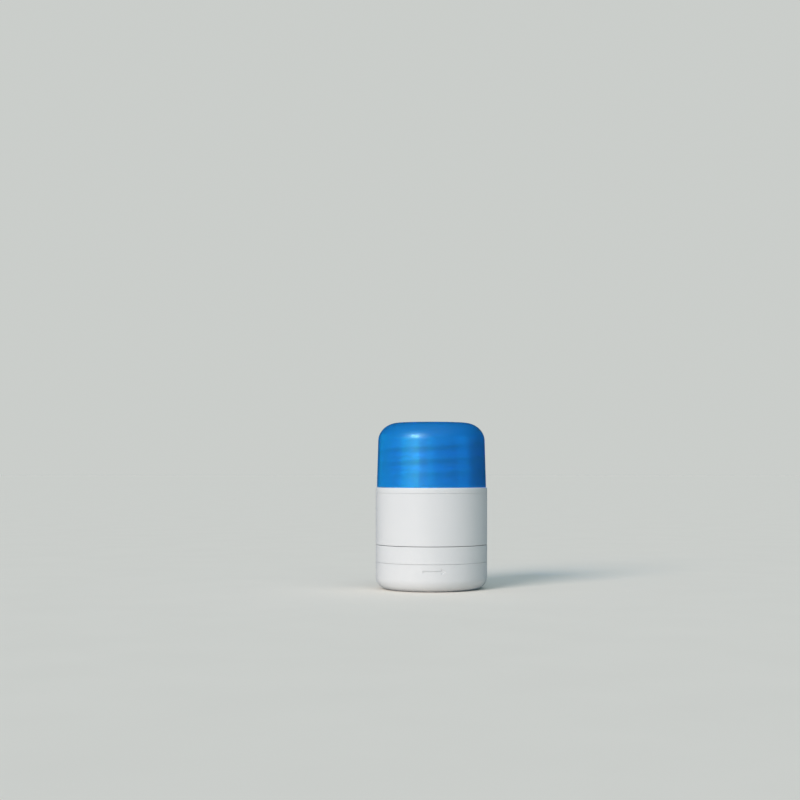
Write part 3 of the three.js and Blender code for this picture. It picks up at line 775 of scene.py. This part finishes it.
def screw(name, node):
    """A small pan-head screw with a cross recess."""
    centre_x = (low(node, X) + high(node, X)) / 2
    z0, z1 = low(node, Z), high(node, Z)
    head = z1 - 1.0
    outline = rounded([
        (0, z0), (0.8, z0, 0.2), (0.8, head), (SCREW_HEAD_R, head, 0.08), (SCREW_HEAD_R, head + 0.45, 0.35),
        (0.9, z1, 0.5), (0, z1),
    ])
    obj = revolve(name, outline, segments=48)
    cross = block("cross", (-0.85, 0.85), (-0.16, 0.16), (z1 - 0.5, z1 + 0.5))
    combine(cross, "UNION", block("cross", (-0.16, 0.16), (-0.85, 0.85), (z1 - 0.45, z1 + 0.6)))
    combine(obj, "DIFFERENCE", cross)
    obj.data.transform(shift_x(centre_x))
    smooth(obj, 35)
    return obj


def hinge_pin():
    x0, x1 = low("hinge_pin", X), high("hinge_pin", X)
    return rod_x("hinge_pin_rod", PIN_R, x0, x1, HINGE_Y, HINGE_Z, 0.15)


# ---- assembly ----------------------------------------------------------------------------

install(cutter_lid(), "cutter_lid", "cutter_lid", WHITE_SHELL)
install(blade_holder(), "blade_holder", "cutter_lid", WHITE_INNER)
install(blade(), "blade", "cutter_lid", BLADE_STEEL)
install(screw("screw_left", "holder_screw_left"), "holder_screw_left", "cutter_lid", PLATED_STEEL)
install(screw("screw_right", "holder_screw_right"), "holder_screw_right", "cutter_lid", PLATED_STEEL)
install(hinge_pin(), "hinge_pin", "cutter_lid", PLATED_STEEL)
install(cutter_base(), "cutter_base", "cutter_base", WHITE_SHELL)
install(pill_holder(), "pill_holder", "cutter_base", WHITE_INNER)
install(pill_pad(), "pill_pad", "cutter_base", PAD)
install(body_seal(), "body_seal_ring", "body_seal", SEAL)
install(main_body(), "main_body", "main_body", WHITE_SHELL)
install(plunger(), "plunger", "main_body", WHITE_SHELL)
install(tablet_cup(), "tablet_cup", "tablet_cup", WHITE_INNER)
install(tablet_divider(), "tablet_divider", "tablet_cup", WHITE_INNER)
install(cup_seal(), "cup_seal_ring", "cup_seal", SEAL)
CUP = install(crush_cup(), "crush_cup", "crush_cup", BLUE_CLEAR)


# ---- stage, lights and camera ------------------------------------------------------------

FLOOR_TONE = (0.85, 0.81, 0.745)
FLOOR_DRIFT = 0.985                # how dark the floor's darker patches are
DAYLIGHT = (0.50, 0.84, 1.0)
SKY_STRENGTH = 0.27
SHINE = (0.008, 0.042, 0.08)       # the sky as gloss shows it
# where each broad light stands: azimuth from the camera's side, elevation, the angle that it fills, its light
KEY = (-34, 28, 28, (2.25, 2.05, 2.02))
FILL = (25, 55, 50, (0.28, 0.28, 0.28))
OVERHEAD = (0, 85, 60, (0.5, 0.5, 0.5))
# the key light as the cup's gloss shows it: azimuth, elevation, half the angle that it fills, radiance
GLARE = (-38, 28, 10, (7.5, 19.0, 16.0))
# tall lamps that only show as soft upright reflections: azimuth, half the angle that each fills, radiance
STRIPS = (
    (-31, 5, (0.0, 2.4, 1.9)), (-46, 20, (0.0, 2.7, 2.2)), (-2.5, 4.5, (0.0, 2.5, 2.0)),
    (72, 15, (0.0, 1.3, 3.9)), (-118, 26, (0.0, 0.62, 0.95)),
)


def floor():
    radius = 60000
    outline = arc(0, 0, radius, radius, 0, 354, 59)
    obj = mesh_object("floor", [(x, y, 0) for x, y in outline], [tuple(range(len(outline)))])
    n = Nodes("pale_floor")
    darker = tuple(FLOOR_DRIFT * c for c in FLOOR_TONE)
    n.link(n.blend(n.spread(n.noise(30, 2), 0, 1), FLOOR_TONE, darker), n.shader.inputs["Base Color"])
    n.shader.inputs["Roughness"].default_value = 0.8
    n.shader.inputs["Specular IOR Level"].default_value = 0.0
    obj.data.materials.append(n.material)
    obj.visible_glossy = False


def light_only(source, obj, included=True):
    """Lets a lamp light one object alone, or everything but that object."""
    group = bpy.data.collections.new("lit")
    group.objects.link(obj)
    if not included:
        group.collection_objects[0].light_linking.link_state = "EXCLUDE"
    source.light_linking.receiver_collection = group


def direction(azimuth, elevation=0):
    """Which way a lamp stands from the object."""
    a, e = math.radians(azimuth), math.radians(elevation)
    return Vector((math.sin(a) * math.cos(e), -math.cos(a) * math.cos(e), math.sin(e)))


def lamp(name, kind, toward, place=(0, 0, 0)):
    """A lamp at that place, which shines back from that direction."""
    obj = bpy.data.objects.new(name, bpy.data.lights.new(name, kind))
    bpy.context.scene.collection.objects.link(obj)
    obj.location = place
    obj.rotation_mode = "QUATERNION"
    obj.rotation_quaternion = toward.to_track_quat("Z", "Y")
    return obj


def reflected_in_cup(obj, area, radiance):
    """Makes an area lamp of that radiance show only in the cup's gloss."""
    obj.data.energy = max(radiance) * math.pi * area
    obj.data.color = tuple(c / max(radiance) for c in radiance)
    obj.visible_camera = obj.visible_diffuse = obj.visible_transmission = False
    light_only(obj, CUP)


def strip(azimuth, half_angle, radiance):
    distance, height = 1.2, 0.5
    toward = direction(azimuth)
    obj = lamp("strip", "AREA", toward, distance * toward + Vector((0, 0, height / 2)))
    obj.data.shape = "RECTANGLE"
    obj.data.size = 2 * distance * math.tan(math.radians(half_angle))
    obj.data.size_y = height
    reflected_in_cup(obj, obj.data.size * height, radiance)


def glare(azimuth, elevation, half_angle, radiance):
    distance = 1.5
    toward = direction(azimuth, elevation)
    obj = lamp("glare", "AREA", toward, distance * toward)
    obj.data.shape = "DISK"
    obj.data.size = 2 * distance * math.tan(math.radians(half_angle))
    reflected_in_cup(obj, math.pi * obj.data.size ** 2 / 4, radiance)


def sun(name, azimuth, elevation, angle, light):
    """A broad soft light from far away, the same all over the floor."""
    obj = lamp(name, "SUN", direction(azimuth, elevation))
    obj.data.energy = max(light)
    obj.data.color = tuple(c / max(light) for c in light)
    obj.data.angle = math.radians(angle)
    return obj


def far_floor():
    """The tone of the floor under all the lights, where no shadow falls."""
    mean = (1 + FLOOR_DRIFT) / 2
    tone = []
    for c in range(3):
        lamps = sum(light[c] * math.sin(math.radians(elevation)) / math.pi
                    for _, elevation, _, light in (KEY, FILL, OVERHEAD))
        tone.append(mean * FLOOR_TONE[c] * (lamps + SKY_STRENGTH * DAYLIGHT[c]))
    return tone


def sky():
    """Even cool light all round, dim in reflections, with a backdrop that the far floor runs into."""
    world = bpy.data.worlds.new("studio")
    world.use_nodes = True
    tree = world.node_tree
    tree.nodes["Background"].inputs["Color"].default_value = (*DAYLIGHT, 1)
    tree.nodes["Background"].inputs["Strength"].default_value = SKY_STRENGTH
    result = tree.nodes["Background"].outputs["Background"]
    path = tree.nodes.new("ShaderNodeLightPath")
    seen = far_floor()
    for ray, colour in (("Is Glossy Ray", SHINE), ("Is Transmission Ray", seen), ("Is Camera Ray", seen)):
        other = tree.nodes.new("ShaderNodeBackground")
        other.inputs["Color"].default_value = (*colour, 1)
        mix = tree.nodes.new("ShaderNodeMixShader")
        tree.links.new(path.outputs[ray], mix.inputs["Fac"])
        tree.links.new(result, mix.inputs[1])
        tree.links.new(other.outputs["Background"], mix.inputs[2])
        result = mix.outputs["Shader"]
    tree.links.new(result, tree.nodes["World Output"].inputs["Surface"])
    bpy.context.scene.world = world


def studio():
    for name, place in (("fill", FILL), ("overhead", OVERHEAD)):
        sun(name, *place).visible_glossy = False
    light_only(sun("key", *KEY), CUP, included=False)
    key_on_cup = sun("key_on_cup", *KEY)
    key_on_cup.visible_glossy = False
    light_only(key_on_cup, CUP)
    glare(*GLARE)
    sky()
    for place in STRIPS:
        strip(*place)


def camera():
    """A level camera straight in front, with the object where the reference frames it."""
    distance, eye = 0.575, 48.2 * MM
    frame_width = 0.331
    right_of_centre, below_centre = 0.0393, 0.0898
    data = bpy.data.cameras.new("camera")
    data.sensor_width = 36
    data.lens = data.sensor_width * distance / frame_width
    data.shift_x, data.shift_y = -right_of_centre, below_centre
    data.clip_start, data.clip_end = 0.01, 20
    obj = bpy.data.objects.new("camera", data)
    bpy.context.scene.collection.objects.link(obj)
    obj.location = (0, -distance, eye)
    obj.rotation_euler = (math.pi / 2, 0, 0)
    bpy.context.scene.camera = obj


floor()
studio()
camera()
bpy.context.scene.view_settings.view_transform = "Standard"
